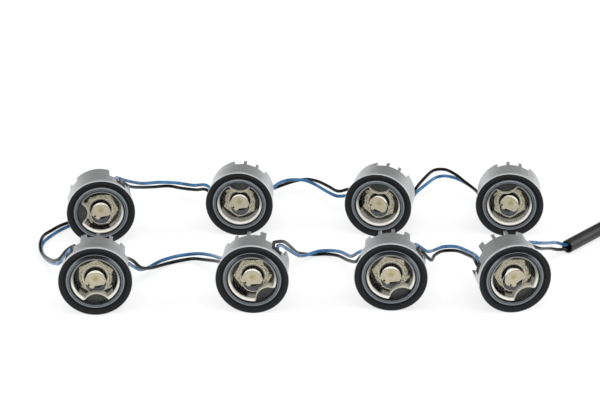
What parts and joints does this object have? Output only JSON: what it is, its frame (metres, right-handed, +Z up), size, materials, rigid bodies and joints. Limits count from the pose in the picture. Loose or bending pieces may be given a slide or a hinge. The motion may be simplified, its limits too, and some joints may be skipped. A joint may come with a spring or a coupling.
{
  "type": "daytime running light",
  "caption": "String of round LED daytime running lamps in finned metal drums, joined by blue and black wire pairs, with a sleeved feed lead.",
  "frame": {"origin": "centre of the base of the box around the lamps, on the surface that they lie on (the wires, lead, coil and plug aren't counted)", "axes": "+Z up; +X to the right along the rows, towards the feed lead; -Y is where the lamps' lenses face, so +Y is behind them"},
  "size_m": [0.3415, 0.1242, 0.03],
  "materials": {
    "cast_metal": "satin silver-grey coating on a die-cast drum",
    "ring_paint": "matte dark grey coating",
    "clear_window": "clear glossy polycarbonate",
    "clear_optic": "clear polished acrylic",
    "slate_plastic": "slate grey, satin",
    "board": "cream solder mask on a metal-core board",
    "emitter": "yellow phosphor under clear silicone",
    "screw_steel": "small machined screws",
    "black_rubber": "matte black",
    "black_insulation": "glossy black wire insulation",
    "blue_insulation": "glossy mid-blue wire insulation",
    "sleeve_plastic": "black heat-shrink sleeve, satin",
    "lead_jacket": "black smooth jacket",
    "contact_brass": "plain brass"
  },
  "bodies": {
    "root": {"heatsink_1": "cast_metal", "heatsink_2": "cast_metal", "heatsink_3": "cast_metal", "heatsink_4": "cast_metal", "heatsink_5": "cast_metal", "heatsink_6": "cast_metal", "heatsink_7": "cast_metal", "heatsink_8": "cast_metal", "front_ring_1": "ring_paint", "front_ring_2": "ring_paint", "front_ring_3": "ring_paint", "front_ring_4": "ring_paint", "front_ring_5": "ring_paint", "front_ring_6": "ring_paint", "front_ring_7": "ring_paint", "front_ring_8": "ring_paint", "collimator_1": "clear_optic", "collimator_2": "clear_optic", "collimator_3": "clear_optic", "collimator_4": "clear_optic", "collimator_5": "clear_optic", "collimator_6": "clear_optic", "collimator_7": "clear_optic", "collimator_8": "clear_optic", "led_board_1": "board", "led_board_2": "board", "led_board_3": "board", "led_board_4": "board", "led_board_5": "board", "led_board_6": "board", "led_board_7": "board", "led_board_8": "board", "windows": "clear_window", "lens_holders": "slate_plastic", "led_emitters": "emitter", "gaskets": "black_rubber", "board_screws": "screw_steel", "wire_grommets": "black_rubber", "black_wire_1_2": "black_insulation", "blue_wire_1_2": "blue_insulation", "black_wire_2_3": "black_insulation", "blue_wire_2_3": "blue_insulation", "black_wire_3_4": "black_insulation", "blue_wire_3_4": "blue_insulation", "black_wire_4_5": "black_insulation", "blue_wire_4_5": "blue_insulation", "black_wire_5_6": "black_insulation", "blue_wire_5_6": "blue_insulation", "black_wire_6_7": "black_insulation", "blue_wire_6_7": "blue_insulation", "black_wire_7_8": "black_insulation", "blue_wire_7_8": "blue_insulation", "black_feed_wire": "black_insulation", "blue_feed_wire": "blue_insulation", "splice_sleeve": "sleeve_plastic", "lead_cable": "lead_jacket", "lead_coil": "lead_jacket", "plug_body": "black_rubber", "plug_pins": "contact_brass"}
  },
  "joints": []
}
